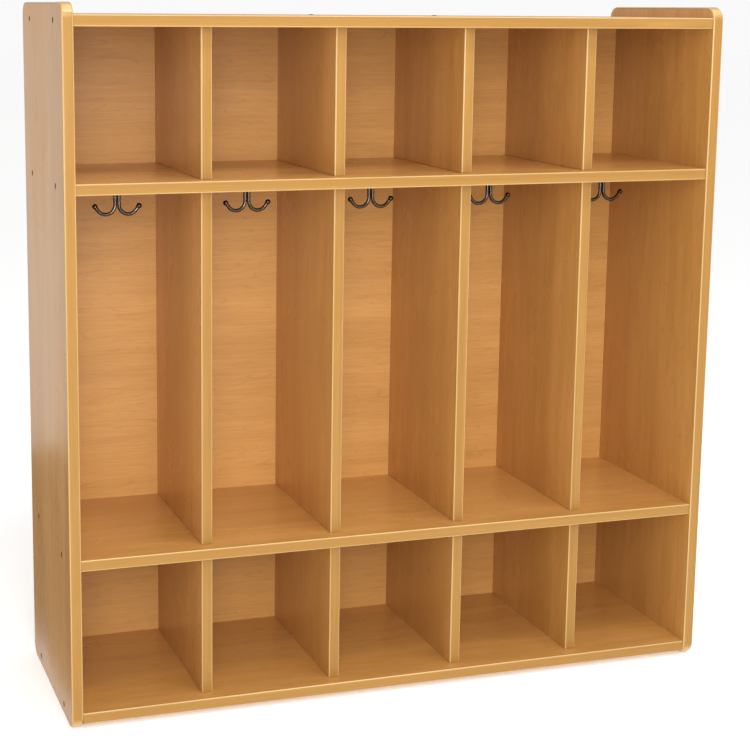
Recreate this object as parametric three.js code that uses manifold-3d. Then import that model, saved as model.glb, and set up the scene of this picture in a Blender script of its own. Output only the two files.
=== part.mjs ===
// Five-bay school locker: an open maple-laminate cabinet with three tiers of five bays and a
// double coat hook in every tall bay. Millimetres, +Z up, front facing -Y. The origin is on the
// floor, midway between the sides and midway between the front and rear edges.

import * as THREE from 'three';
import { mergeVertices } from 'three/addons/utils/BufferGeometryUtils.js';
import Module from 'manifold-3d';

const wasm = await Module();
wasm.setup();

// ---- driving dimensions ----
const WIDTH = 1181;
const DEPTH = 381;
const PANEL = 19.5; // laminated board, about 3/4 in
const BAYS = 5;
const FOOT_GAP = 9; // bottom panel's underside above the floor
const CUBBY_HEIGHT = 247.5; // clear height of the lower and the upper tier
const COAT_HEIGHT = 604.5; // clear height of the middle tier
const SIDE_RISE = 18.5; // side panels above the top panel
const SIDE_CORNER = 25; // corner radius of the side panels' outline
const EDGE_RADIUS = 3; // rounded edge banding
const SHELF_SETBACK = 3; // shelf edges inside the side panels' front and rear edges
const DIVIDER_SETBACK = 30; // divider fronts behind the side panels' front edges
const BACK_FACE = 353; // back panel's front face behind the side panels' front edges
const BACK_THICKNESS = 9.5;
const GAP = 0.3; // clearance round a piece that sits in a cut hole

const SIDE_SCREW_INSET = 76; // from the front and the rear edge, 3 in
const SIDE_SCREW = { head: 9.5, headDepth: 3.2, shank: 5, length: 50 };
const TOP_SCREW = { head: 9, rim: 1.5, headDepth: 3.4, shank: 4.5, length: 45 };
const TOP_SCREW_PROUD = 1.2; // the two screws in the top panel stand this far above it
const HEAD_SUNK = 0.2; // the side and back screws' heads lie this far below the board's face
const BACK_SCREW = { head: 8, headDepth: 2.8, shank: 4, length: 32 };
const HOOK_SCREW = { head: 7.5, headDepth: 2, shank: 3.6, length: 15 };

const WIRE = 6.2; // hook wire diameter
const STEM_X = 3.4; // each stem's centre line from the hook's middle
const BEND_RADIUS = 16.4; // of the wire's centre line
const BEND_DROP = 53.5; // lowest point of the centre line below the shelf
const BEND_PAST_BOTTOM = 52.6; // degrees of bend after the lowest point
const TIP_LENGTH = 9.5; // straight wire from the bend to the ball's centre
const BALL = 9.4; // ball tip diameter
const PLATE = { width: 52, depth: 20, thickness: 2.5, corner: 5 };
const PLATE_SCREW_X = 18.5;

// ---- derived places ----
const FRONT = -DEPTH / 2;
const REAR = DEPTH / 2;
const INNER_WIDTH = WIDTH - 2 * PANEL;
const BAY_WIDTH = (INNER_WIDTH - (BAYS - 1) * PANEL) / BAYS;
const PITCH = BAY_WIDTH + PANEL;
const BOTTOM_Z = FOOT_GAP;
const LOWER_Z = BOTTOM_Z + PANEL + CUBBY_HEIGHT;
const UPPER_Z = LOWER_Z + PANEL + COAT_HEIGHT;
const TOP_Z = UPPER_Z + PANEL + CUBBY_HEIGHT;
const HEIGHT = TOP_Z + PANEL + SIDE_RISE;
const SHELF_FRONT = FRONT + SHELF_SETBACK;
const SHELF_REAR = REAR - SHELF_SETBACK; // of the top and the bottom panel, past the back panel
const DIVIDER_FRONT = FRONT + DIVIDER_SETBACK;
const BACK_FRONT = FRONT + BACK_FACE;
const BACK_REAR = BACK_FRONT + BACK_THICKNESS;
const SCREW_ROWS = { top: TOP_Z, upper: UPPER_Z, lower: LOWER_Z, bottom: BOTTOM_Z };
const SCREW_YS = { front: FRONT + SIDE_SCREW_INSET, rear: REAR - SIDE_SCREW_INSET };

const bayCentre = (i) => (i - (BAYS - 1) / 2) * PITCH;
const dividerX = (i) => (i - BAYS / 2 + 1) * PITCH;

// ---- solids and booleans ----
function toSolid(geometry) {
  const bare = geometry.clone();
  bare.deleteAttribute('normal');
  bare.deleteAttribute('uv');
  const merged = mergeVertices(bare, 1e-4);
  const vertProperties = new Float32Array(merged.attributes.position.array);
  const triVerts = new Uint32Array(merged.index.array);
  return new wasm.Manifold(new wasm.Mesh({ numProp: 3, vertProperties, triVerts }));
}

function toGeometry(solid) {
  const mesh = solid.getMesh();
  const geometry = new THREE.BufferGeometry();
  geometry.setAttribute('position', new THREE.BufferAttribute(new Float32Array(mesh.vertProperties), 3));
  geometry.setIndex(new THREE.BufferAttribute(new Uint32Array(mesh.triVerts), 1));
  geometry.computeVertexNormals();
  return geometry;
}

function cutAll(geometry, cutters) {
  let solid = toSolid(geometry);
  for (const cutter of cutters) {
    solid = solid.subtract(toSolid(cutter));
  }
  return toGeometry(solid);
}

function joinAll(geometries) {
  let solid = toSolid(geometries[0]);
  for (const geometry of geometries.slice(1)) {
    solid = solid.add(toSolid(geometry));
  }
  return solid;
}

// A rectangle from (x0, y0) to (x1, y1) with a corner radius of its own at each corner,
// in the order low-low, high-low, high-high, low-high.
function roundedRectangle(x0, y0, x1, y1, radii) {
  const [a, b, c, d] = radii;
  const shape = new THREE.Shape();
  shape.moveTo(x0 + a, y0);
  shape.lineTo(x1 - b, y0);
  if (b > 0) shape.absarc(x1 - b, y0 + b, b, -Math.PI / 2, 0, false);
  shape.lineTo(x1, y1 - c);
  if (c > 0) shape.absarc(x1 - c, y1 - c, c, 0, Math.PI / 2, false);
  shape.lineTo(x0 + d, y1);
  if (d > 0) shape.absarc(x0 + d, y1 - d, d, Math.PI / 2, Math.PI, false);
  shape.lineTo(x0, y0 + a);
  if (a > 0) shape.absarc(x0 + a, y0 + a, a, Math.PI, Math.PI * 1.5, false);
  return shape;
}

// ---- panels ----
// A board that runs along X: its section is drawn in Y and Z, and its front edge is rounded.
function shelfGeometry(yFront, yRear, z) {
  const radii = [EDGE_RADIUS, 0, 0, EDGE_RADIUS];
  const section = roundedRectangle(yFront, z, yRear, z + PANEL, radii);
  const geometry = new THREE.ExtrudeGeometry(section, {
    depth: INNER_WIDTH,
    bevelEnabled: false,
    curveSegments: 2,
  });
  // The section's plane is turned from XY to YZ, so that the extrusion runs along +X.
  geometry.applyMatrix4(new THREE.Matrix4().makeBasis(
    new THREE.Vector3(0, 1, 0),
    new THREE.Vector3(0, 0, 1),
    new THREE.Vector3(1, 0, 0),
  ));
  geometry.translate(-INNER_WIDTH / 2, 0, 0);
  return geometry;
}

// An upright board between two shelves: its section is drawn in X and Y.
function dividerGeometry(x, z0, z1) {
  const radii = [EDGE_RADIUS, EDGE_RADIUS, 0, 0];
  const section = roundedRectangle(x - PANEL / 2, DIVIDER_FRONT, x + PANEL / 2, BACK_FRONT, radii);
  const geometry = new THREE.ExtrudeGeometry(section, {
    depth: z1 - z0,
    bevelEnabled: false,
    curveSegments: 2,
  });
  geometry.translate(0, 0, z0);
  return geometry;
}

// A full-height side: a rounded outline in Y and Z with a rounded edge all the way round.
function sideGeometry(lowX) {
  const inset = EDGE_RADIUS;
  const corner = SIDE_CORNER - inset;
  const outline = roundedRectangle(
    FRONT + inset,
    inset,
    REAR - inset,
    HEIGHT - inset,
    [corner, corner, corner, corner],
  );
  const geometry = new THREE.ExtrudeGeometry(outline, {
    depth: PANEL - 2 * inset,
    bevelEnabled: true,
    bevelThickness: inset,
    bevelSize: inset,
    bevelSegments: 2,
    curveSegments: 4,
  });
  geometry.applyMatrix4(new THREE.Matrix4().makeBasis(
    new THREE.Vector3(0, 1, 0),
    new THREE.Vector3(0, 0, 1),
    new THREE.Vector3(1, 0, 0),
  ));
  geometry.translate(lowX + inset, 0, 0);
  return geometry;
}

function backGeometry() {
  const bottom = BOTTOM_Z + PANEL;
  const geometry = new THREE.BoxGeometry(INNER_WIDTH, BACK_THICKNESS, TOP_Z - bottom);
  geometry.translate(0, (BACK_FRONT + BACK_REAR) / 2, (bottom + TOP_Z) / 2);
  return geometry;
}

// ---- screws ----
// A countersunk screw along +Z: the head's flat face is at z = 0 and the point is at -length.
// A grown copy of it cuts its hole.
function screwGeometry(spec, grow = 0) {
  const rim = spec.rim ?? 0.5; // height of the head's straight rim
  const mouth = grow > 0 ? 2 : 0; // a hole's cutter runs out past the board's face
  const head = spec.head / 2 + grow;
  const shank = spec.shank / 2 + grow;
  const point = spec.length - spec.shank * 1.2;
  const profile = [
    new THREE.Vector2(0, -spec.length - grow),
    new THREE.Vector2(shank, -point - grow),
    new THREE.Vector2(shank, -spec.headDepth),
    new THREE.Vector2(head, -rim),
    new THREE.Vector2(head, mouth),
    new THREE.Vector2(0, mouth),
  ];
  const geometry = new THREE.LatheGeometry(profile, 8);
  geometry.rotateX(Math.PI / 2);
  return geometry;
}

// Turns and moves a screw so that its head faces along outward and sits at the given point.
function placed(geometry, outward, point) {
  const turn = new THREE.Quaternion().setFromUnitVectors(new THREE.Vector3(0, 0, 1), outward);
  return geometry.applyQuaternion(turn).translate(point.x, point.y, point.z);
}

const screws = [];

function addScrew(name, spec, outward, point) {
  screws.push({ name, spec, outward, point });
}

function cuttersFor(test) {
  return screws.filter(test).map(({ spec, outward, point }) => (
    placed(screwGeometry(spec, GAP), outward, point)
  ));
}

for (const [side, sign] of [['left', -1], ['right', 1]]) {
  for (const [row, z] of Object.entries(SCREW_ROWS)) {
    for (const [place, y] of Object.entries(SCREW_YS)) {
      addScrew(
        `${side}_side_screw_${row}_${place}`,
        SIDE_SCREW,
        new THREE.Vector3(sign, 0, 0),
        new THREE.Vector3(sign * (WIDTH / 2 - HEAD_SUNK), y, z + PANEL / 2),
      );
    }
  }
}

for (const i of [1, 2]) {
  addScrew(
    `top_screw_${i}`,
    TOP_SCREW,
    new THREE.Vector3(0, 0, 1),
    new THREE.Vector3(dividerX(i), 0, TOP_Z + PANEL + TOP_SCREW_PROUD),
  );
}

for (const [row, z] of [['upper', UPPER_Z], ['lower', LOWER_Z]]) {
  for (let i = 0; i < BAYS - 1; i += 1) {
    addScrew(
      `back_screw_${row}_${i + 1}`,
      BACK_SCREW,
      new THREE.Vector3(0, 1, 0),
      new THREE.Vector3(dividerX(i), BACK_REAR - HEAD_SUNK, z + PANEL / 2),
    );
  }
}

for (let i = 0; i < BAYS; i += 1) {
  for (const [place, sign] of [['left', -1], ['right', 1]]) {
    addScrew(
      `hook_screw_${i + 1}_${place}`,
      HOOK_SCREW,
      new THREE.Vector3(0, 0, -1),
      new THREE.Vector3(bayCentre(i) + sign * PLATE_SCREW_X, 0, UPPER_Z - PLATE.thickness + HEAD_SUNK),
    );
  }
}

// ---- hooks ----
// The centre line of one arm, in the hook's own frame: z = 0 is the shelf's underside. It runs
// straight down, bends outwards through the lowest point, and ends in a short straight tip.
class HookArm extends THREE.Curve {
  constructor(sign) {
    super();
    this.sign = sign;
    this.top = -PLATE.thickness / 2;
    this.bendZ = -BEND_DROP + BEND_RADIUS;
    this.turn = THREE.MathUtils.degToRad(90 + BEND_PAST_BOTTOM);
    this.stemLength = this.top - this.bendZ;
    this.bendLength = BEND_RADIUS * this.turn;
    this.total = this.stemLength + this.bendLength + TIP_LENGTH;
  }

  getPoint(t, target = new THREE.Vector3()) {
    const s = t * this.total;
    if (s <= this.stemLength) {
      return target.set(this.sign * STEM_X, 0, this.top - s);
    }
    const angle = Math.min((s - this.stemLength) / BEND_RADIUS, this.turn);
    const rest = s - this.stemLength - BEND_RADIUS * angle;
    const x = STEM_X + BEND_RADIUS * (1 - Math.cos(angle)) + rest * Math.sin(angle);
    const z = this.bendZ - BEND_RADIUS * Math.sin(angle) - rest * Math.cos(angle);
    return target.set(this.sign * x, 0, z);
  }
}

function armGeometry(sign) {
  const section = new THREE.Shape();
  section.absarc(0, 0, WIRE / 2, 0, Math.PI * 2, false);
  return new THREE.ExtrudeGeometry(section, {
    steps: 16,
    curveSegments: 4,
    extrudePath: new HookArm(sign),
  });
}

function ballGeometry(sign) {
  const end = new HookArm(sign).getPoint(1);
  return new THREE.SphereGeometry(BALL / 2, 10, 6).translate(end.x, end.y, end.z);
}

function plateGeometry() {
  const { width, depth, thickness, corner } = PLATE;
  const outline = roundedRectangle(-width / 2, -depth / 2, width / 2, depth / 2, Array(4).fill(corner));
  const geometry = new THREE.ExtrudeGeometry(outline, {
    depth: thickness,
    bevelEnabled: false,
    curveSegments: 2,
  });
  return geometry.translate(0, 0, -thickness);
}

function hookGeometry(i) {
  const solid = joinAll([
    plateGeometry(),
    armGeometry(-1),
    armGeometry(1),
    ballGeometry(-1),
    ballGeometry(1),
  ]);
  const hook = toGeometry(solid).translate(bayCentre(i), 0, UPPER_Z);
  return cutAll(hook, cuttersFor(({ name }) => name.startsWith(`hook_screw_${i + 1}_`)));
}

// ---- assembly ----
const laminate = (color) => new THREE.MeshStandardMaterial({ color, roughness: 0.4, metalness: 0 });
const bronze = () => new THREE.MeshStandardMaterial({ color: 0x2a211b, roughness: 0.4, metalness: 0.8 });

const locker = new THREE.Group();

function addMesh(name, geometry, material) {
  const mesh = new THREE.Mesh(geometry, material);
  mesh.name = name;
  locker.add(mesh);
}

function addCut(name, geometry, test) {
  addMesh(name, cutAll(geometry, cuttersFor(test)), laminate(0xd8ab6c));
}

const inRow = (row) => ({ name }) => name.includes(`side_screw_${row}`);
const onSide = (side) => ({ name }) => name.startsWith(`${side}_side_screw`);
const isHookScrew = ({ name }) => name.startsWith('hook_screw');
const isTopScrew = ({ name }) => name.startsWith('top_screw');
const isBackScrew = ({ name }) => name.startsWith('back_screw');
const inBackRow = (row) => ({ name }) => name.startsWith(`back_screw_${row}`);

addCut('left_side_panel', sideGeometry(-WIDTH / 2), onSide('left'));
addCut('right_side_panel', sideGeometry(INNER_WIDTH / 2), onSide('right'));
addCut(
  'top_panel',
  shelfGeometry(SHELF_FRONT, SHELF_REAR, TOP_Z),
  (screw) => inRow('top')(screw) || isTopScrew(screw),
);
addCut(
  'upper_shelf',
  shelfGeometry(SHELF_FRONT, BACK_FRONT, UPPER_Z),
  (screw) => inRow('upper')(screw) || isHookScrew(screw) || inBackRow('upper')(screw),
);
addCut(
  'lower_shelf',
  shelfGeometry(SHELF_FRONT, BACK_FRONT, LOWER_Z),
  (screw) => inRow('lower')(screw) || inBackRow('lower')(screw),
);
addCut('bottom_panel', shelfGeometry(SHELF_FRONT, SHELF_REAR, BOTTOM_Z), inRow('bottom'));
addCut('back_panel', backGeometry(), isBackScrew);

const TIERS = [
  { name: 'upper', z0: UPPER_Z + PANEL, z1: TOP_Z },
  { name: 'middle', z0: LOWER_Z + PANEL, z1: UPPER_Z },
  { name: 'lower', z0: BOTTOM_Z + PANEL, z1: LOWER_Z },
];

for (const tier of TIERS) {
  for (let i = 0; i < BAYS - 1; i += 1) {
    const drilled = tier.name === 'upper';
    addCut(
      `${tier.name}_divider_${i + 1}`,
      dividerGeometry(dividerX(i), tier.z0, tier.z1),
      ({ name }) => drilled && name === `top_screw_${i}`,
    );
  }
}

for (let i = 0; i < BAYS; i += 1) {
  addMesh(`coat_hook_${i + 1}`, hookGeometry(i), bronze());
}

for (const { name, spec, outward, point } of screws) {
  addMesh(name, placed(screwGeometry(spec), outward, point), bronze());
}

export default locker;
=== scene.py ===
"""A five-bay classroom coat locker in golden maple laminate, with a double coat hook in every bay.

Metres, +Z up, the front facing -Y. Every piece takes its place and size from the frame's nodes.
"""

import math
import random

import bmesh
import bpy
from mathutils import Matrix, Vector


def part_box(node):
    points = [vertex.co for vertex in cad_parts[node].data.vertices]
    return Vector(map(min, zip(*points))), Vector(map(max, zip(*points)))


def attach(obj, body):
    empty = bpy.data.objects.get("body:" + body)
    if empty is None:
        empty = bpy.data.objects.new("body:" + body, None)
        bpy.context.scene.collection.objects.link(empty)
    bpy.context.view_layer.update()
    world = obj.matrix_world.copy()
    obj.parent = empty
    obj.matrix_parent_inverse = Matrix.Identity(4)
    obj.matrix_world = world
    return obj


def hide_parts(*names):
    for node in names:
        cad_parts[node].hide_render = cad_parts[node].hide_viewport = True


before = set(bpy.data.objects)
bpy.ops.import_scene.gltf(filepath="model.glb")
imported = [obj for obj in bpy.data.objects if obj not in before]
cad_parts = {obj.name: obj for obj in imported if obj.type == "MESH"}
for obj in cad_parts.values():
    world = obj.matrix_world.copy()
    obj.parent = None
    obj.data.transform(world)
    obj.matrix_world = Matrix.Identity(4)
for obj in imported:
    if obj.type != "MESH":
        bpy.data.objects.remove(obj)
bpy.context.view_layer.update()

MM = 0.001
BAYS = 5
TIERS = ("upper", "middle", "lower")
SCREW_ROWS = ("top", "upper", "lower", "bottom")

# ---- boards ----
BAND = 3.0 * MM  # thickness of the edge band, and the radius of its rounded corners
SEAM = 0.25 * MM  # width of the glue line between the band and the laminate
SEAM_DEPTH = 0.08 * MM
JOINT = 0.25 * MM  # gap where a long board butts against a side
FOOT_JOINT = 0.5 * MM  # gap at a divider's two ends
SIDE_CORNER = 25.0 * MM
ROUND_STEPS = 8
LAMINATE, EDGE, GLUE_AND_HOLE_SHADE, CORE = range(4)  # a board's material indices

# ---- screws: head and shank are diameters, depth is the head's, from the dome's top to the shank ----
SIDE_SCREW = {"head": 9.5 * MM, "depth": 4.2 * MM, "shank": 5.0 * MM, "length": 50.0 * MM, "dome": 1.6 * MM}
TOP_SCREW = {"head": 9.0 * MM, "depth": 3.4 * MM, "shank": 4.5 * MM, "length": 45.0 * MM, "dome": 1.0 * MM}
BACK_SCREW = {"head": 8.0 * MM, "depth": 2.8 * MM, "shank": 4.0 * MM, "length": 32.0 * MM, "dome": 0.5 * MM}
HOOK_SCREW = {"head": 7.5 * MM, "depth": 2.0 * MM, "shank": 3.6 * MM, "length": 15.0 * MM, "dome": 0.4 * MM}
HOLE_GAP = 0.25 * MM  # clearance round a screw's head and shank
CUTTER_ABOVE = 4.0 * MM  # how far a hole's cutter stands out of the board
TURNED_STEPS = 28

# ---- coat hooks ----
WIRE = 6.2 * MM
WIRE_SIDES = 20
STEM_X = 3.4 * MM  # each stem's centre line from the hook's middle
BEND_RADIUS = 16.4 * MM
BEND_DROP = 53.5 * MM  # lowest point of the centre line below the shelf
BEND_ANGLE = math.radians(90 + 52.6)
TIP_LENGTH = 9.5 * MM
BALL = 9.4 * MM
PLATE_THICK = 2.5 * MM
PLATE_CORNER = 5.0 * MM
PLATE_EDGE = 0.7 * MM
PLATE_SCREW_X = 18.5 * MM
PLATE_END = 7.5 * MM  # from each screw to the plate's end

# ---- colours, linear ----
MAPLE_LIGHT = (0.61, 0.312, 0.090)
MAPLE_DARK = (0.51, 0.248, 0.062)
MAPLE_STREAK = (0.30, 0.120, 0.022)
BACK_LIGHT = (0.66, 0.345, 0.100)
BACK_DARK = (0.56, 0.280, 0.074)
BACK_STREAK = (0.33, 0.138, 0.030)
# The band's colours are set darker than the laminate's: painted shade, to hold down the strong light on the
# front edges.
BAND_LIGHT = (0.380, 0.195, 0.044)
BAND_DARK = (0.342, 0.169, 0.034)
BAND_RUBBED = (0.50, 0.280, 0.080)
# pale colour painted along the middle of the band's rounds as a highlight
BAND_PAINTED_HIGHLIGHT = (0.80, 0.560, 0.260)
CORE_LIGHT = (0.50, 0.36, 0.20)
CORE_DARK = (0.24, 0.15, 0.075)
BRONZE = (0.060, 0.038, 0.028)
# worn bronze, also painted as a highlight down the front of the hook wires
HOOK_WEAR_AND_HIGHLIGHT = (0.30, 0.26, 0.22)
BRONZE_WORN = (0.40, 0.29, 0.20)
SCREW_BRONZE = (0.045, 0.030, 0.021)

SHADE_SPLIT = math.radians(32)  # faces that meet at more than this angle have a sharp edge
HOOK_SPLIT = math.radians(50)  # the same for the hooks
dice = random.Random(7)


# ---- node materials ----
class Surface:
    """A material's node tree, with a short way to add and join nodes."""

    def __init__(self, name):
        self.material = bpy.data.materials.new(name)
        self.material.use_nodes = True
        self.tree = self.material.node_tree
        self.shader = self.tree.nodes["Principled BSDF"]

    def add(self, kind):
        return self.tree.nodes.new(kind)

    def join(self, source, target):
        self.tree.links.new(source, target)

    def attribute(self, name):
        """The node that reads one of the mesh's own values."""
        node = self.add("ShaderNodeAttribute")
        node.attribute_name = name
        return node

    def grain(self):
        """Metres along, across and through the grain."""
        return self.attribute("grain").outputs["Vector"]

    def place(self):
        """Metres from the piece's own place."""
        return self.add("ShaderNodeTexCoord").outputs["Object"]

    def noise(self, vector, scale, detail=2.0, distortion=0.0):
        """Noise with about this many spots to the metre along each axis."""
        mapping = self.add("ShaderNodeMapping")
        mapping.inputs["Scale"].default_value = scale
        self.join(vector, mapping.inputs["Vector"])
        node = self.add("ShaderNodeTexNoise")
        node.inputs["Scale"].default_value = 1.0
        node.inputs["Detail"].default_value = detail
        node.inputs["Distortion"].default_value = distortion
        self.join(mapping.outputs["Vector"], node.inputs["Vector"])
        return node.outputs["Fac"]

    def spread(self, value, start, end, low=0.0, high=1.0):
        """Maps start..end smoothly to low..high."""
        node = self.add("ShaderNodeMapRange")
        node.interpolation_type = "SMOOTHSTEP"
        node.inputs["From Min"].default_value = start
        node.inputs["From Max"].default_value = end
        node.inputs["To Min"].default_value = low
        node.inputs["To Max"].default_value = high
        self.join(value, node.inputs["Value"])
        return node.outputs["Result"]

    def maths(self, operation, first, second=0.0):
        """A maths node of two values, each a number or a socket."""
        node = self.add("ShaderNodeMath")
        node.operation = operation
        for socket, value in zip(node.inputs, (first, second)):
            if isinstance(value, (int, float)):
                socket.default_value = value
            else:
                self.join(value, socket)
        return node.outputs["Value"]

    def blend(self, factor, first, second):
        """Mixes two colours, each a constant or a socket."""
        node = self.add("ShaderNodeMix")
        node.data_type = "RGBA"
        self.join(factor, node.inputs["Factor"])
        sockets = [s for s in node.inputs if s.type == "RGBA"]
        for socket, value in zip(sockets, (first, second)):
            if isinstance(value, tuple):
                socket.default_value = (*value, 1.0)
            else:
                self.join(value, socket)
        return next(s for s in node.outputs if s.type == "RGBA")

    def finish(self, colour, roughness, height, depth):
        """Joins the colour and roughness, and a bump whose relief is depth metres."""
        self.join(colour, self.shader.inputs["Base Color"])
        self.join(roughness, self.shader.inputs["Roughness"])
        bump = self.add("ShaderNodeBump")
        bump.inputs["Distance"].default_value = depth
        bump.inputs["Strength"].default_value = 1.0
        self.join(height, bump.inputs["Height"])
        self.join(bump.outputs["Normal"], self.shader.inputs["Normal"])
        return self.material


def ring_lines(surface, grain, scale, count, width, gap_scale):
    """Thin broken lines along the growth rings: level lines of a stretched noise."""
    field = surface.noise(grain, scale, 2.0, 0.25)
    phase = surface.maths("FRACT", surface.maths("MULTIPLY", field, count))
    distance = surface.maths("ABSOLUTE", surface.maths("SUBTRACT", phase, 0.5))
    line = surface.spread(distance, 0.0, width, 1.0, 0.0)
    gaps = surface.spread(surface.noise(grain, gap_scale, 2.0), 0.44, 0.60)
    return surface.maths("MULTIPLY", line, gaps)


def scaled_colour(surface, colour, shade):
    """The colour made darker or lighter by a factor."""
    node = surface.add("ShaderNodeVectorMath")
    node.operation = "SCALE"
    surface.join(colour, node.inputs[0])
    surface.join(shade, node.inputs["Scale"])
    return node.outputs["Vector"]


def maple(name, light, dark, streak, gloss, contrast=1.0):
    """Printed maple laminate: soft tone bands, thin broken ring lines, fine grain and short flecks."""
    surface = Surface(name)
    grain = surface.grain()
    bands = surface.noise(grain, (0.7, 7.0, 7.0), 2.0, 0.3)
    figure = surface.noise(grain, (3.2, 34.0, 34.0), 3.0, 0.8)
    tone = surface.maths("MULTIPLY", bands, 0.6)
    tone = surface.maths("ADD", tone, surface.maths("MULTIPLY", figure, 0.4))
    colour = surface.blend(surface.spread(tone, 0.34, 0.64), dark, light)
    wide = ring_lines(surface, grain, (1.7, 12.0, 12.0), 22.0, 0.10, (8.0, 70.0, 70.0))
    narrow = ring_lines(surface, grain, (4.0, 30.0, 30.0), 16.0, 0.16, (14.0, 120.0, 120.0))
    flecks = surface.spread(surface.noise(grain, (30.0, 420.0, 420.0), 2.0), 0.58, 0.70)
    marks = surface.maths("MAXIMUM", wide, surface.maths("MULTIPLY", narrow, 0.7))
    marks = surface.maths("MAXIMUM", marks, surface.maths("MULTIPLY", flecks, 0.7))
    colour = surface.blend(surface.maths("MULTIPLY", marks, 0.42 * contrast), colour, streak)
    lines = surface.noise(grain, (10.0, 430.0, 430.0), 3.0)
    shade = surface.spread(lines, 0.34, 0.66, 1.0 - 0.08 * contrast, 1.0 + 0.05 * contrast)
    smears = surface.noise(grain, (3.0, 5.0, 5.0), 3.0)
    roughness = surface.spread(smears, 0.3, 0.7, gloss - 0.04, gloss + 0.06)
    texture = surface.noise(grain, (160.0, 900.0, 900.0), 2.0)
    height = surface.maths("SUBTRACT", texture, surface.maths("MULTIPLY", marks, 0.6))
    return surface.finish(scaled_colour(surface, colour, shade), roughness, height, 0.03 * MM)


def edge_band():
    """Thick rounded edge band: faint grain, glossier, rubbed in places, its rounds painted paler as a
    highlight line.
    """
    surface = Surface("maple_edge_band")
    grain = surface.grain()
    tone = surface.noise(grain, (1.2, 60.0, 60.0), 3.0, 0.4)
    lines = surface.noise(grain, (9.0, 700.0, 700.0), 2.0)
    # The band's darker colours are painted shade against the strong light on the front edges.
    colour = surface.blend(surface.spread(tone, 0.30, 0.70), BAND_DARK, BAND_LIGHT)
    rubbed = surface.noise(grain, (7.0, 30.0, 30.0), 3.0)
    wear = surface.spread(rubbed, 0.60, 0.80, 0.0, 0.35)
    colour = surface.blend(wear, colour, BAND_RUBBED)
    # Painted highlight: the middle of each rounded edge is painted paler, a bright line along the rounds.
    narrow = surface.maths("POWER", surface.attribute("rounding").outputs["Fac"], 2.5)
    painted_highlight = surface.maths("MULTIPLY", narrow, surface.spread(tone, 0.3, 0.7, 0.5, 0.7))
    colour = surface.blend(painted_highlight, colour, BAND_PAINTED_HIGHLIGHT)
    shade = surface.spread(lines, 0.35, 0.65, 0.96, 1.03)
    roughness = surface.spread(rubbed, 0.3, 0.7, 0.24, 0.17)
    return surface.finish(scaled_colour(surface, colour, shade), roughness, lines, 0.02 * MM)


def glue_line_and_hole_shade():
    """The thin dark line where band and laminate meet; the same dark finish is painted on the screw holes'
    walls as shade.
    """
    surface = Surface("glue_line_and_hole_shade")
    spots = surface.noise(surface.grain(), (60.0, 60.0, 60.0), 2.0)
    colour = surface.blend(spots, (0.05, 0.024, 0.009), (0.14, 0.07, 0.025))
    roughness = surface.spread(spots, 0.3, 0.7, 0.55, 0.75)
    return surface.finish(colour, roughness, spots, 0.02 * MM)


def board_core():
    """Pressed wood chips, seen in cut edges; the screw holes' walls take the dark glue finish as painted
    shade instead.
    """
    surface = Surface("chipboard_core")
    grain = surface.grain()
    chips = surface.noise(grain, (320.0, 900.0, 900.0), 4.0, 1.5)
    specks = surface.noise(grain, (1400.0, 1400.0, 1400.0), 2.0)
    colour = surface.blend(surface.spread(chips, 0.36, 0.64), CORE_DARK, CORE_LIGHT)
    colour = surface.blend(surface.spread(specks, 0.55, 0.8, 0.0, 0.5), colour, (0.62, 0.47, 0.29))
    roughness = surface.spread(specks, 0.3, 0.7, 0.75, 0.95)
    return surface.finish(colour, roughness, chips, 0.4 * MM)


def dark_metal(name, colour, wear_and_highlight, gloss):
    """Dark bronze finish, brighter where a wear value on the mesh says: rubbed wear on the screws and the
    hooks' bends, and a painted highlight down the front of the hook wires.
    """
    surface = Surface(name)
    place = surface.place()
    mottle = surface.noise(place, (180.0, 180.0, 180.0), 4.0)
    scuffs = surface.noise(place, (420.0, 420.0, 1400.0), 3.0, 0.8)
    # On the hooks this wear value also holds the painted highlight on the wires' front.
    wear = surface.attribute("wear").outputs["Fac"]
    rubbed = surface.maths("MULTIPLY", wear, surface.spread(scuffs, 0.38, 0.62, 0.5, 1.0))
    deep = tuple(0.6 * part for part in colour)
    finish = surface.blend(surface.spread(mottle, 0.35, 0.65), deep, colour)
    finish = surface.blend(rubbed, finish, wear_and_highlight)
    roughness = surface.spread(mottle, 0.3, 0.7, gloss - 0.06, gloss + 0.08)
    surface.shader.inputs["Metallic"].default_value = 1.0
    surface.shader.inputs["Specular Tint"].default_value = (0.30, 0.28, 0.26, 1.0)
    return surface.finish(finish, roughness, mottle, 0.05 * MM)


def floor_paint():
    """Matt white studio floor."""
    surface = Surface("studio_floor")
    place = surface.place()
    clouds = surface.noise(place, (0.8, 0.8, 0.8), 3.0)
    colour = surface.blend(clouds, (0.93, 0.93, 0.925), (0.96, 0.96, 0.955))
    surface.shader.inputs["Emission Color"].default_value = (1.0, 1.0, 1.0, 1.0)
    surface.shader.inputs["Emission Strength"].default_value = 0.30
    roughness = surface.spread(clouds, 0.3, 0.7, 0.75, 0.85)
    return surface.finish(colour, roughness, clouds, 0.1 * MM)


def card_paint():
    """Matt black card."""
    surface = Surface("dark_card")
    fibres = surface.noise(surface.place(), (30.0, 30.0, 30.0), 3.0)
    colour = surface.blend(fibres, (0.05, 0.05, 0.05), (0.08, 0.08, 0.08))
    roughness = surface.spread(fibres, 0.3, 0.7, 0.85, 0.95)
    return surface.finish(colour, roughness, fibres, 0.1 * MM)


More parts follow.
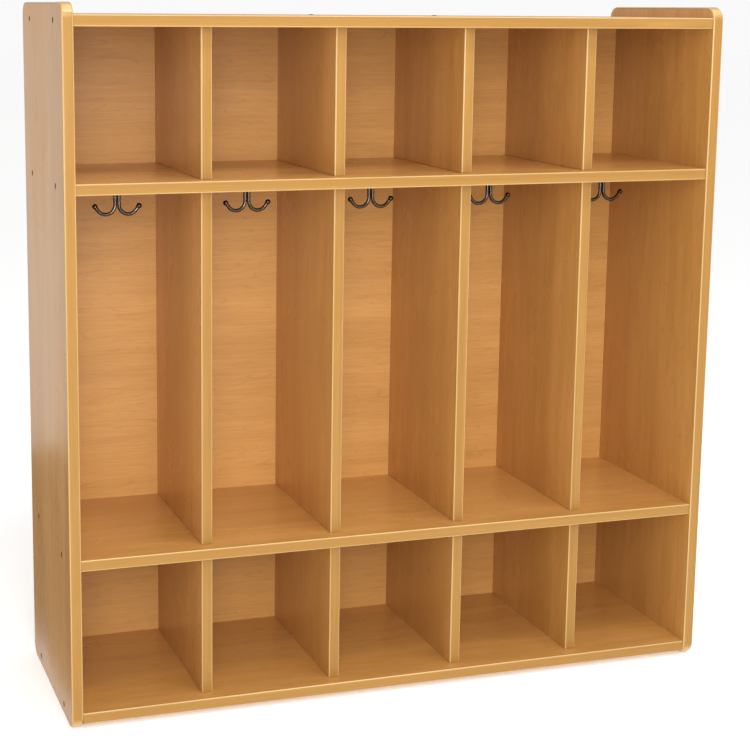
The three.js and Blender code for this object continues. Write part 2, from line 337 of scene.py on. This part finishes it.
MAPLE = maple("maple_laminate", MAPLE_LIGHT, MAPLE_DARK, MAPLE_STREAK, 0.27, 0.6)
BACK_MAPLE = maple("back_laminate", BACK_LIGHT, BACK_DARK, BACK_STREAK, 0.44, 0.58)
BAND_FINISH = edge_band()
GLUE_AND_HOLE_SHADE_FINISH = glue_line_and_hole_shade()
CORE_FINISH = board_core()
HOOK_FINISH = dark_metal("hook_bronze", BRONZE, HOOK_WEAR_AND_HIGHLIGHT, 0.24)
SCREW_FINISH = dark_metal("screw_bronze", SCREW_BRONZE, BRONZE_WORN, 0.52)
BOARD_FINISHES = (MAPLE, BAND_FINISH, GLUE_AND_HOLE_SHADE_FINISH, CORE_FINISH)
BACK_FINISHES = (BACK_MAPLE, BAND_FINISH, GLUE_AND_HOLE_SHADE_FINISH, CORE_FINISH)


# ---- mesh building ----
def shown(name, mesh, finishes):
    """Makes the scene object of a bmesh."""
    bmesh.ops.recalc_face_normals(mesh, faces=mesh.faces)
    data = bpy.data.meshes.new(name)
    mesh.to_mesh(data)
    mesh.free()
    for finish in finishes:
        data.materials.append(finish)
    piece = bpy.data.objects.new(name, data)
    bpy.context.scene.collection.objects.link(piece)
    return piece


def smoothed(piece):
    """Smooth rounds next to truly flat faces, with sharp edges kept."""
    piece.data.shade_smooth()
    piece.data.set_sharp_from_angle(angle=SHADE_SPLIT)
    weighted = piece.modifiers.new("flat_faces", "WEIGHTED_NORMAL")
    weighted.keep_sharp = True
    return piece


def mesh_only(piece, split):
    """The piece's mesh, smoothed up to the split angle, for several pieces to copy."""
    data = piece.data
    data.shade_smooth()
    data.set_sharp_from_angle(angle=split)
    bpy.data.objects.remove(piece)
    return data


def copied(name, data):
    """A new scene object with its own copy of the mesh."""
    piece = bpy.data.objects.new(name + "_look", data.copy())
    bpy.context.scene.collection.objects.link(piece)
    return piece


def installed(piece, node):
    """The piece stands for its CAD node and moves with the locker."""
    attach(piece, "root")
    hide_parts(node)
    return piece


def lay_grain(piece, along, across, through):
    """Writes each vertex's place along, across and through the grain, shifted differently per board."""
    shift = Vector((dice.uniform(0, 40), dice.uniform(0, 9), dice.uniform(0, 9)))
    values = []
    for vertex in piece.data.vertices:
        place = vertex.co
        values.extend((place[along] + shift.x, place[across] + shift.y, place[through] + shift.z))
    layer = piece.data.attributes.new("grain", "FLOAT_VECTOR", "POINT")
    layer.data.foreach_set("vector", values)


def mark_rounding(piece):
    """Writes how far each vertex is into a rounded edge: 1 where it faces halfway between two sides."""
    layer = piece.data.attributes.new("rounding", "FLOAT", "POINT")
    for vertex in piece.data.vertices:
        x, y, z = vertex.normal
        layer.data[vertex.index].value = min(1.0, 2.0 * max(abs(x * y), abs(y * z), abs(z * x)))


def quarter(steps):
    """Angles from 0 to 90 degrees."""
    return [math.pi / 2 * step / steps for step in range(steps + 1)]


def board_section(front, rear, low, high):
    """A board's section: (depth, thickness, material of the side that starts there, roundness)."""
    lip = front + BAND
    points = [
        (rear, low, LAMINATE, 0),
        (lip + SEAM, low, GLUE_AND_HOLE_SHADE, 0),
        (lip + SEAM / 2, low + SEAM_DEPTH, GLUE_AND_HOLE_SHADE, 0),
    ]
    for angle in quarter(ROUND_STEPS):
        depth = lip - BAND * math.sin(angle)
        points.append((depth, low + BAND - BAND * math.cos(angle), EDGE, math.sin(2 * angle)))
    for angle in quarter(ROUND_STEPS):
        depth = lip - BAND * math.cos(angle)
        points.append((depth, high - BAND + BAND * math.sin(angle), EDGE, math.sin(2 * angle)))
    points[-1] = (lip, high, GLUE_AND_HOLE_SHADE, 0)
    points.append((lip + SEAM / 2, high - SEAM_DEPTH, GLUE_AND_HOLE_SHADE, 0))
    points.append((lip + SEAM, high, LAMINATE, 0))
    points.append((rear, high, CORE, 0))
    return points


def swept_board(section, start, end, place):
    """The section swept from start to end; place turns (depth, thickness, length) into a point."""
    mesh = bmesh.new()
    roundness = mesh.verts.layers.float.new("rounding")
    rings = []
    for length in (start, end):
        ring = []
        for depth, thick, _, value in section:
            ring.append(mesh.verts.new(place(depth, thick, length)))
            ring[-1][roundness] = value
        rings.append(ring)
    for i, (_, _, material, _) in enumerate(section):
        j = (i + 1) % len(section)
        face = mesh.faces.new((rings[0][i], rings[0][j], rings[1][j], rings[1][i]))
        face.material_index = material
    for ring in rings:
        mesh.faces.new(ring).material_index = CORE
    return mesh


def rounded_outline(low, high, corner, inset, steps):
    """Points round a rectangle with rounded corners, moved in by the inset."""
    radius = corner - inset
    x0, y0 = low[0] + corner, low[1] + corner
    x1, y1 = high[0] - corner, high[1] - corner
    points = []
    for x, y, start in ((x1, y1, 0), (x0, y1, 90), (x0, y0, 180), (x1, y0, 270)):
        for angle in quarter(steps):
            turn = math.radians(start) + angle
            points.append((x + radius * math.cos(turn), y + radius * math.sin(turn)))
    return points


def slab(outline, layers, place):
    """Joins outlines at rising heights; each layer is (inset, height, material above it)."""
    mesh = bmesh.new()
    rings = []
    for inset, height, _ in layers:
        rings.append([mesh.verts.new(place(a, b, height)) for a, b in outline(inset)])
    for lower, upper, (_, _, material) in zip(rings, rings[1:], layers):
        for i in range(len(lower)):
            j = (i + 1) % len(lower)
            mesh.faces.new((lower[i], lower[j], upper[j], upper[i])).material_index = material
    mesh.faces.new(rings[0])
    mesh.faces.new(rings[-1])
    return mesh


def turned(mesh, profile, matrix, material=0):
    """Adds a closed turned shape to the mesh: (radius, height) pairs from axis to axis."""
    rings = []
    for radius, height in profile:
        count = TURNED_STEPS if radius > 0 else 1
        turns = [2 * math.pi * step / TURNED_STEPS for step in range(count)]
        ring = [matrix @ Vector((radius * math.cos(t), radius * math.sin(t), height)) for t in turns]
        rings.append([mesh.verts.new(point) for point in ring])
    for lower, upper in zip(rings, rings[1:]):
        for i in range(TURNED_STEPS):
            j = (i + 1) % TURNED_STEPS
            below = [lower[k % len(lower)] for k in (i, j)]
            above = [upper[k % len(upper)] for k in (j, i)]
            corners = list(dict.fromkeys(below + above))  # a ring on the axis has only one corner
            mesh.faces.new(corners).material_index = material


def cut_out(piece, cutter_mesh):
    """Cuts the closed shapes of cutter_mesh out of the piece."""
    cutter = shown("cutter", cutter_mesh, ())
    modifier = piece.modifiers.new("cut", "BOOLEAN")
    modifier.operation = "DIFFERENCE"
    modifier.solver = "EXACT"
    modifier.object = cutter
    graph = bpy.context.evaluated_depsgraph_get()
    cut = bpy.data.meshes.new_from_object(piece.evaluated_get(graph))
    piece.modifiers.clear()
    plain = piece.data
    piece.data = cut
    bpy.data.meshes.remove(plain)
    bpy.data.objects.remove(cutter)
    return piece


# ---- screws ----
def facing(outward, point):
    """A place whose own +Z runs along outward."""
    turn = Vector((0, 0, 1)).rotation_difference(Vector(outward)).to_matrix().to_4x4()
    return Matrix.Translation(point) @ turn


def screw_hole(mesh, spec, matrix):
    """Adds the shape of a countersunk hole to a cutter."""
    head = spec["head"] / 2 + HOLE_GAP
    shank = spec["shank"] / 2 + HOLE_GAP
    profile = (
        (0, -spec["length"] - HOLE_GAP),
        (shank, -spec["length"] - HOLE_GAP),
        (shank, -spec["depth"] - HOLE_GAP),
        (head, -spec["dome"] - 0.4 * MM),
        (head, CUTTER_ABOVE),
        (0, CUTTER_ABOVE),
    )
    # The hole's walls take the dark glue finish: painted shade in the recess round the screw head.
    turned(mesh, profile, matrix, GLUE_AND_HOLE_SHADE)


def thread_profile(spec):
    """The threaded shank from its point to just under the head."""
    core = spec["shank"] * 0.34
    crest = spec["shank"] / 2
    pitch = spec["shank"] * 0.45
    point = spec["shank"] * 1.2
    profile = [(0, -spec["length"]), (core * 0.6, -spec["length"] + point * 0.6)]
    height = -spec["length"] + point
    while height < -spec["depth"] - 2.5 * pitch:
        profile.append((core, height))
        profile.append((crest, height + pitch * 0.5))
        height += pitch
    profile.append((core, height))
    profile.append((crest * 0.9, height + pitch * 0.5))
    return profile


def head_profile(spec):
    """The countersunk head: cone, thin rim, and a low dome that tops out at height 0."""
    radius = spec["head"] / 2
    rim = -spec["dome"]
    profile = [(spec["shank"] * 0.45, -spec["depth"]), (radius, rim - 0.35 * MM), (radius, rim - 0.1 * MM)]
    for step in range(6):
        turn = math.radians(15 * step + 8)
        profile.append((radius * math.cos(turn), rim + spec["dome"] * math.sin(turn)))
    profile.append((0, 0.0))
    return profile


def cross_recess(spec):
    """A tapered cross, as wide as a driver's tip."""
    arm = spec["head"] * 0.29
    half = spec["head"] * 0.075
    mesh = bmesh.new()
    rings = []
    for height, share in ((1.0 * MM, 1.0), (-spec["dome"] - spec["depth"] * 0.35, 0.45)):
        ring = []
        for quarter_turn in range(4):
            turn = Matrix.Rotation(math.pi / 2 * quarter_turn, 3, "Z")
            for x, y in ((arm, -half), (arm, half), (half, half)):
                ring.append(mesh.verts.new(turn @ Vector((x * share, y * share, height))))
        rings.append(ring)
    for i in range(len(rings[0])):
        j = (i + 1) % len(rings[0])
        mesh.faces.new((rings[0][i], rings[0][j], rings[1][j], rings[1][i]))
    for ring in rings:
        mesh.faces.new(ring)
    return mesh


def screw_mesh(spec):
    """One whole screw with its head up, its place at the head's highest point."""
    mesh = bmesh.new()
    turned(mesh, thread_profile(spec) + head_profile(spec), Matrix.Identity(4))
    piece = cut_out(shown("screw", mesh, (SCREW_FINISH,)), cross_recess(spec))
    data = piece.data
    wear = data.attributes.new("wear", "FLOAT", "POINT")
    cross_edge = spec["head"] * 0.2
    for vertex in data.vertices:
        radius = math.hypot(vertex.co.x, vertex.co.y)
        near_cross = max(0.0, 1.0 - abs(radius - cross_edge) / cross_edge)
        on_head = vertex.co.z > -spec["dome"] - 0.2 * MM
        wear.data[vertex.index].value = 0.35 * near_cross + 0.15 if on_head else 0.0
    return mesh_only(piece, SHADE_SPLIT)


def add_screw(name, data, matrix):
    """Puts a screw in its place, its cross turned at random."""
    piece = copied(name, data)
    piece.matrix_world = matrix @ Matrix.Rotation(dice.uniform(0, math.pi), 4, "Z")
    return installed(piece, name)


def middle(node):
    """The middle of a CAD node's box."""
    low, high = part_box(node)
    return (low + high) / 2


# ---- places of the screws: (node, outward direction, highest point of the head) ----
def side_screw_places(side):
    sign = -1 if side == "left" else 1
    panel_low, panel_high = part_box(side + "_side_panel")
    face = panel_low.x if sign < 0 else panel_high.x
    places = []
    for row in SCREW_ROWS:
        for end in ("front", "rear"):
            node = f"{side}_side_screw_{row}_{end}"
            centre = middle(node)
            places.append((node, (sign, 0, 0), Vector((face, centre.y, centre.z))))
    return places


def top_screw_places():
    places = []
    for node in ("top_screw_1", "top_screw_2"):
        _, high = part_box(node)
        centre = middle(node)
        places.append((node, (0, 0, 1), Vector((centre.x, centre.y, high.z))))
    return places


def back_screw_places():
    _, panel_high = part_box("back_panel")
    places = []
    for row in ("upper", "lower"):
        for i in range(1, BAYS):
            node = f"back_screw_{row}_{i}"
            centre = middle(node)
            places.append((node, (0, 1, 0), Vector((centre.x, panel_high.y, centre.z))))
    return places


def hook_screw_places(bay):
    plate_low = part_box(f"coat_hook_{bay}")[1].z - PLATE_THICK
    places = []
    for end in ("left", "right"):
        node = f"hook_screw_{bay}_{end}"
        centre = middle(node)
        places.append((node, (0, 0, -1), Vector((centre.x, centre.y, plate_low))))
    return places


def holes_for(places, spec):
    """The cutter for a board's screw holes."""
    mesh = bmesh.new()
    for _, outward, point in places:
        screw_hole(mesh, spec, facing(outward, point))
    return mesh


# ---- boards ----
def long_board(node, places=(), spec=None):
    """A board along X, banded at the front."""
    low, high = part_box(node)
    section = board_section(low.y, high.y, low.z, high.z)
    mesh = swept_board(section, low.x + JOINT, high.x - JOINT, lambda d, t, x: (x, d, t))
    piece = shown(node + "_look", mesh, BOARD_FINISHES)
    if places:
        cut_out(piece, holes_for(places, spec))
    lay_grain(piece, 0, 1, 2)
    return installed(smoothed(piece), node)


def divider(node):
    """An upright between two shelves, banded at the front."""
    low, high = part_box(node)
    section = board_section(low.y, high.y - JOINT, low.x, high.x)
    mesh = swept_board(section, low.z + FOOT_JOINT, high.z - FOOT_JOINT, lambda d, t, z: (t, d, z))
    piece = shown(node + "_look", mesh, BOARD_FINISHES)
    lay_grain(piece, 2, 1, 0)
    return installed(smoothed(piece), node)


def banded_layers(low, high):
    """Layers of a panel whose narrow faces are banded all the way round."""
    layers = [(BAND + SEAM, low, GLUE_AND_HOLE_SHADE), (BAND + SEAM / 2, low + SEAM_DEPTH, GLUE_AND_HOLE_SHADE)]
    for angle in quarter(ROUND_STEPS):
        layers.append((BAND - BAND * math.sin(angle), low + BAND - BAND * math.cos(angle), EDGE))
    for angle in quarter(ROUND_STEPS):
        layers.append((BAND - BAND * math.cos(angle), high - BAND + BAND * math.sin(angle), EDGE))
    layers[-1] = (BAND, high, GLUE_AND_HOLE_SHADE)
    layers.append((BAND + SEAM / 2, high - SEAM_DEPTH, GLUE_AND_HOLE_SHADE))
    layers.append((BAND + SEAM, high, LAMINATE))
    return layers


def side_panel(side):
    """A full-height side with rounded corners."""
    node = side + "_side_panel"
    low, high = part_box(node)
    corners = ((low.y, low.z), (high.y, high.z))
    mesh = slab(
        lambda inset: rounded_outline(*corners, SIDE_CORNER, inset, 12),
        banded_layers(low.x, high.x),
        lambda y, z, x: (x, y, z),
    )
    piece = shown(node + "_look", mesh, BOARD_FINISHES)
    cut_out(piece, holes_for(side_screw_places(side), SIDE_SCREW))
    lay_grain(piece, 2, 1, 0)
    mark_rounding(piece)
    return installed(smoothed(piece), node)


def back_board():
    """The thin back, its edges left unbanded."""
    low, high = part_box("back_panel")
    section = [
        (low.y, low.z, CORE, 0),
        (high.y, low.z, LAMINATE, 0),
        (high.y, high.z, CORE, 0),
        (low.y, high.z, LAMINATE, 0),
    ]
    mesh = swept_board(section, low.x + JOINT, high.x - JOINT, lambda d, t, x: (x, d, t))
    piece = shown("back_panel_look", mesh, BACK_FINISHES)
    cut_out(piece, holes_for(back_screw_places(), BACK_SCREW))
    lay_grain(piece, 0, 2, 1)
    return installed(smoothed(piece), "back_panel")


# ---- coat hooks ----
def arm_path():
    """(x, z, direction angle, radius) along one arm; the angle is 0 straight down and grows outwards."""
    stations = []
    top = -PLATE_THICK * 0.6
    bend_z = -BEND_DROP + BEND_RADIUS
    for drop in (0.0, 1.2 * MM, 2.2 * MM, 3.4 * MM, 5.5 * MM):
        weld = 1.1 * MM * max(0.0, 1 - drop / (3.4 * MM)) ** 2
        stations.append((STEM_X, top - drop, 0.0, WIRE / 2 + weld))
    for step in range(33):
        angle = BEND_ANGLE * step / 32
        x = STEM_X + BEND_RADIUS * (1 - math.cos(angle))
        z = bend_z - BEND_RADIUS * math.sin(angle)
        stations.append((x, z, angle, WIRE / 2))
    return stations + ball_stations(*stations[-1][:2])


def ball_stations(x, z):
    """The short straight tip and the ball that ends it."""
    stations = []
    ball = BALL / 2
    neck = math.sqrt(ball**2 - (WIRE / 2) ** 2)
    along = (math.sin(BEND_ANGLE), -math.cos(BEND_ANGLE))
    lengths = [(TIP_LENGTH - neck) * share for share in (0.4, 0.75, 0.95)]
    radii = [WIRE / 2, WIRE / 2, WIRE / 2 + 0.15 * MM]
    for step in range(15):
        turn = math.acos(-neck / ball) * (1 - step / 14)
        lengths.append(TIP_LENGTH + ball * math.cos(turn))
        radii.append(ball * math.sin(turn))
    for length, radius in zip(lengths, radii):
        stations.append((x + along[0] * length, z + along[1] * length, BEND_ANGLE, max(radius, 0.02 * MM)))
    return stations


def add_arm(mesh, sign):
    """Adds one bent wire with its ball tip."""
    rings = []
    for x, z, angle, radius in arm_path():
        ring = []
        for step in range(WIRE_SIDES):
            turn = 2 * math.pi * step / WIRE_SIDES
            out = radius * math.cos(turn)
            point = (sign * (x + out * math.cos(angle)), radius * math.sin(turn), z + out * math.sin(angle))
            ring.append(mesh.verts.new(point))
        rings.append(ring)
    for lower, upper in zip(rings, rings[1:]):
        for i in range(WIRE_SIDES):
            j = (i + 1) % WIRE_SIDES
            mesh.faces.new((lower[i], lower[j], upper[j], upper[i]))
    mesh.faces.new(rings[0])
    mesh.faces.new(rings[-1])


def plate_mesh(low, high):
    """The hook's base plate, its lower edge eased."""
    layers = [(0.0, 0.0, 0)]
    for angle in quarter(4):
        height = -PLATE_THICK + PLATE_EDGE - PLATE_EDGE * math.sin(angle)
        layers.append((PLATE_EDGE * (1 - math.cos(angle)), height, 0))
    return slab(
        lambda inset: rounded_outline(low, high, PLATE_CORNER, inset, 6),
        layers,
        lambda x, y, z: (x, y, z),
    )


def hook_mesh(node):
    """One whole hook, its place at the plate's upper face."""
    low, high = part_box(node)
    half = Vector((PLATE_SCREW_X + PLATE_END, (high.y - low.y) / 2))
    plate = shown("plate", plate_mesh(-half, half), (HOOK_FINISH,))
    holes = bmesh.new()
    for sign in (-1, 1):
        place = facing((0, 0, -1), (sign * PLATE_SCREW_X, 0, -PLATE_THICK))
        screw_hole(holes, HOOK_SCREW, place)
    cut_out(plate, holes)
    mesh = bmesh.new()
    for sign in (-1, 1):
        add_arm(mesh, sign)
    bmesh.ops.recalc_face_normals(mesh, faces=mesh.faces)
    mesh.from_mesh(plate.data)
    bpy.data.objects.remove(plate)
    piece = shown("hook", mesh, (HOOK_FINISH,))
    mark_hook_wear_and_highlight(piece.data)
    return mesh_only(piece, HOOK_SPLIT)


def mark_hook_wear_and_highlight(data):
    """Coats rub the finish off the inside of the bends; the front of the wires and balls is painted pale as
    a highlight line.
    """
    wear = data.attributes.new("wear", "FLOAT", "POINT")
    bend = Vector((STEM_X + BEND_RADIUS, -BEND_DROP + BEND_RADIUS))
    for vertex in data.vertices:
        place = Vector((abs(vertex.co.x), vertex.co.z))
        inner = max(0.0, 1 - (place - bend).length / (BEND_RADIUS - WIRE * 0.1))
        # Painted highlight: a pale line down the front of each wire and ball, stored with the wear.
        front = max(0.0, -vertex.normal.y) ** 10 if vertex.co.z < -2 * PLATE_THICK else 0.0
        wear.data[vertex.index].value = min(1.0, inner + front)


def add_hooks():
    data = hook_mesh("coat_hook_1")
    screw = screw_mesh(HOOK_SCREW)
    for bay in range(1, BAYS + 1):
        node = f"coat_hook_{bay}"
        low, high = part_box(node)
        piece = copied(node, data)
        piece.location = ((low.x + high.x) / 2, (low.y + high.y) / 2, high.z)
        installed(piece, node)
        for name, outward, point in hook_screw_places(bay):
            add_screw(name, screw, facing(outward, point))


# ---- the locker ----
def add_boards():
    for side in ("left", "right"):
        side_panel(side)
    long_board("top_panel", top_screw_places(), TOP_SCREW)
    for node in ("upper_shelf", "lower_shelf", "bottom_panel"):
        long_board(node)
    for tier in TIERS:
        for i in range(1, BAYS):
            divider(f"{tier}_divider_{i}")
    back_board()


def add_screws():
    groups = (
        (side_screw_places("left") + side_screw_places("right"), SIDE_SCREW),
        (top_screw_places(), TOP_SCREW),
        (back_screw_places(), BACK_SCREW),
    )
    for places, spec in groups:
        data = screw_mesh(spec)
        for name, outward, point in places:
            add_screw(name, data, facing(outward, point))


# ---- studio ----
def flat_sheet(name, low, high, height, finish):
    """A level rectangle that isn't part of the locker."""
    mesh = bmesh.new()
    corners = ((low[0], low[1]), (high[0], low[1]), (high[0], high[1]), (low[0], high[1]))
    mesh.faces.new([mesh.verts.new((x, y, height)) for x, y in corners])
    sheet = shown(name, mesh, (finish,))
    return sheet


def add_floor():
    """A pale floor, and a dark card on it that only the left side's gloss mirrors."""
    floor = flat_sheet("floor", (-40.0, -40.0), (40.0, 40.0), 0.0, floor_paint())
    floor.visible_glossy = False
    card = flat_sheet("dark_card", (-4.0, -0.6), (-0.62, 1.65), 2 * MM, card_paint())
    card.visible_camera = False
    card.visible_diffuse = False
    card.visible_shadow = False


def add_softbox(name, place, target, width, height, power):
    """A soft rectangular light at a place, turned to the target."""
    light = bpy.data.lights.new(name, "AREA")
    light.shape = "RECTANGLE"
    light.size = width
    light.size_y = height
    light.energy = power
    lamp = bpy.data.objects.new(name, light)
    lamp.location = place
    lamp.rotation_euler = (Vector(target) - Vector(place)).to_track_quat("-Z", "Y").to_euler()
    bpy.context.scene.collection.objects.link(lamp)


def studio_surround():
    """An even white surround that lights more softly than the camera sees it."""
    world = bpy.data.worlds.new("studio")
    world.use_nodes = True
    nodes = world.node_tree.nodes
    background = nodes["Background"]
    background.inputs["Color"].default_value = (1.0, 1.0, 1.0, 1.0)
    rays = nodes.new("ShaderNodeLightPath")
    strength = nodes.new("ShaderNodeMapRange")
    strength.inputs["To Min"].default_value = 0.68
    strength.inputs["To Max"].default_value = 0.95
    world.node_tree.links.new(rays.outputs["Is Camera Ray"], strength.inputs["Value"])
    world.node_tree.links.new(strength.outputs["Result"], background.inputs["Strength"])
    bpy.context.scene.world = world


def add_camera():
    """Left of the locker and level with its top, looking down and to the right."""
    camera = bpy.data.cameras.new("camera")
    camera.sensor_width = 36.0
    camera.lens = 81.10
    camera.shift_x = 0.105
    camera.shift_y = -0.10
    camera.clip_end = 200.0
    holder = bpy.data.objects.new("camera", camera)
    yaw = Matrix.Rotation(-0.3164, 4, "Z")
    pitch = Matrix.Rotation(math.pi / 2 - 0.1710, 4, "X")
    roll = Matrix.Rotation(0.0078, 4, "Z")
    holder.matrix_world = Matrix.Translation((-1.0689, -2.8388, 1.1978)) @ yaw @ pitch @ roll
    bpy.context.scene.collection.objects.link(holder)
    bpy.context.scene.camera = holder


def light_studio():
    bpy.context.scene.view_settings.view_transform = "Standard"
    studio_surround()
    centre = (0.0, 0.0, 0.6)
    add_softbox("key", (-0.7, -4.0, 2.6), centre, 1.6, 1.6, 68.0)
    add_softbox("low_fill", (-1.2, -4.0, 1.2), centre, 1.4, 1.4, 58.0)
    add_softbox("overhead_strip", (0.5, -1.5, 3.2), centre, 2.4, 0.4, 36.0)


add_boards()
add_screws()
add_hooks()
add_floor()
light_studio()
add_camera()
